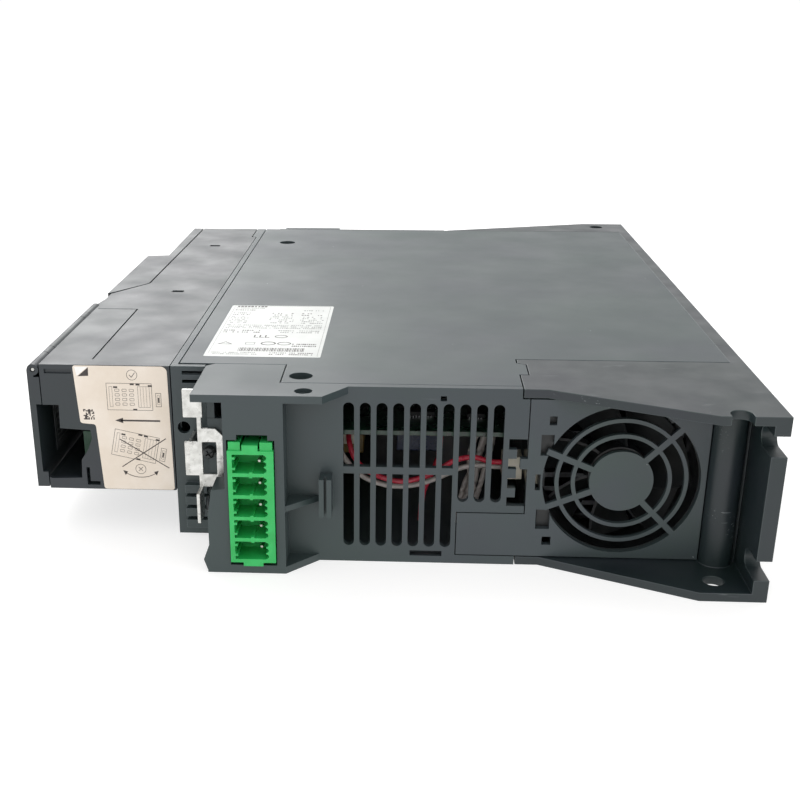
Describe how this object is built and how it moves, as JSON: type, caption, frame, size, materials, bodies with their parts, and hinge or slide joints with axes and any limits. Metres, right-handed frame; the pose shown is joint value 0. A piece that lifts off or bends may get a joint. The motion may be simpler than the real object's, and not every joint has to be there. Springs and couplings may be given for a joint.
{
  "type": "servo drive",
  "caption": "Book-format servo drive with a plug-on control block, hinged terminal door, pull-out fan and finned mounting frame.",
  "frame": {"origin": "centre of the left side panel, on which the drive lies", "axes": "+X towards the mounting plate, +Y towards the drive's top end, +Z through the thickness to the right side panel"},
  "size_m": [0.245, 0.325, 0.062],
  "materials": {
    "housing_plastic": "fine spark texture, matt",
    "frame_paint": "powder coat, matt, scuffed at the lower wing",
    "dark_plastic": "black glass-filled moulding",
    "connector_green": "bright green moulding, half gloss",
    "terminal_green": "dark green moulding",
    "contact_metal": "tin plated",
    "bracket_steel": "bright zinc sheet",
    "screw_steel": "blackened zinc",
    "sink_aluminium": "extruded, mill finish",
    "circuit_board": "green solder mask",
    "capacitor_sleeve": "shrink sleeve with a metal top",
    "choke_copper": "lacquered copper winding",
    "film_capacitor": "yellow box",
    "relay_blue": "blue box",
    "cream_plastic": "cream connector nylon",
    "red_lead": "red insulation",
    "grey_lead": "grey insulation",
    "label_white": "printed silver-white film",
    "sticker_cream": "printed cream paper",
    "display_tint": "smoked red lens",
    "digit_red": "unlit LED segments",
    "led_lens": "frosted lens",
    "key_grey": "light grey keys",
    "key_green": "green key",
    "key_red": "red key"
  },
  "bodies": {
    "chassis": {"mounting_plate": "frame_paint", "gusset_wings": "frame_paint", "corner_post": "frame_paint", "heat_sink": "sink_aluminium", "power_tray": "housing_plastic", "side_panel": "housing_plastic", "bottom_end_cap": "housing_plastic", "top_end_cap": "housing_plastic", "motor_header": "connector_green", "mains_header": "connector_green", "connector_pins": "contact_metal", "connector_boards": "circuit_board", "grounding_bracket": "bracket_steel", "bracket_screws": "screw_steel", "case_screws": "screw_steel", "nameplate": "label_white", "power_board": "circuit_board", "dc_capacitors": "capacitor_sleeve", "power_module": "dark_plastic", "filter_choke": "choke_copper", "film_capacitors": "film_capacitor", "relays": "relay_blue", "transformer": "dark_plastic", "board_plug": "cream_plastic", "fan_socket": "cream_plastic", "fan_lead_red": "red_lead", "fan_lead_grey": "grey_lead", "power_socket": "dark_plastic"},
    "fan_cartridge": {"fan_cover": "housing_plastic", "fan_frame": "dark_plastic", "fan_screws": "contact_metal", "fan_plug": "cream_plastic"},
    "rotor": {"fan_rotor": "dark_plastic"},
    "control_block": {"control_housing": "housing_plastic", "bay_liner": "housing_plastic", "front_cover": "housing_plastic", "hinge_pin": "contact_metal", "control_board": "circuit_board", "control_chips": "dark_plastic", "control_plug": "dark_plastic", "io_terminal_front": "terminal_green", "io_terminal_rear": "terminal_green", "terminal_screws": "contact_metal", "network_port": "contact_metal", "hmi_board": "circuit_board", "display_window": "display_tint", "display_digits": "digit_red", "status_leds": "led_lens", "key_switches": "dark_plastic", "encoder": "contact_metal", "logic_switch": "dark_plastic", "pull_sticker": "sticker_cream"},
    "door": {"front_door": "housing_plastic"},
    "shaft": {"dial_shaft": "contact_metal"},
    "dial": {"jog_dial": "key_grey"},
    "mode": {"mode_key": "key_grey"},
    "escape": {"escape_key": "key_grey"},
    "run": {"run_key": "key_green"},
    "stop": {"stop_key": "key_red"},
    "slider": {"logic_slider": "cream_plastic"}
  },
  "joints": [
    {"name": "control_block_pull", "type": "slide", "parent": "chassis", "child": "control_block", "axis": [-1, 0, 0], "range_m": [0, 0.03]},
    {"name": "fan_cartridge_pull", "type": "slide", "parent": "chassis", "child": "fan_cartridge", "axis": [0, -1, 0], "range_m": [0, 0.03]},
    {"name": "fan_spin", "type": "hinge", "parent": "fan_cartridge", "child": "rotor", "pos_m": [0.078, -0.126, 0.031], "axis": [0, 1, 0], "continuous": true},
    {"name": "door_swing", "type": "hinge", "parent": "control_block", "child": "door", "pos_m": [-0.1204, -0.075, 0.0599], "axis": [0, 1, 0], "range_deg": [0, 110]},
    {"name": "dial_push", "type": "slide", "parent": "control_block", "child": "shaft", "axis": [1, 0, 0], "range_m": [0, 0.0006], "stiffness_N_per_m": 600},
    {"name": "dial_turn", "type": "hinge", "parent": "shaft", "child": "dial", "pos_m": [-0.119, 0.018, 0.03925], "axis": [-1, 0, 0], "continuous": true},
    {"name": "mode_press", "type": "slide", "parent": "control_block", "child": "mode", "axis": [1, 0, 0], "range_m": [0, 0.0006], "stiffness_N_per_m": 500},
    {"name": "escape_press", "type": "slide", "parent": "control_block", "child": "escape", "axis": [1, 0, 0], "range_m": [0, 0.0006], "stiffness_N_per_m": 500},
    {"name": "run_press", "type": "slide", "parent": "control_block", "child": "run", "axis": [1, 0, 0], "range_m": [0, 0.0006], "stiffness_N_per_m": 500},
    {"name": "stop_press", "type": "slide", "parent": "control_block", "child": "stop", "axis": [1, 0, 0], "range_m": [0, 0.0006], "stiffness_N_per_m": 500},
    {"name": "logic_slide", "type": "slide", "parent": "control_block", "child": "slider", "axis": [0, 1, 0], "range_m": [0, 0.0023]}
  ]
}
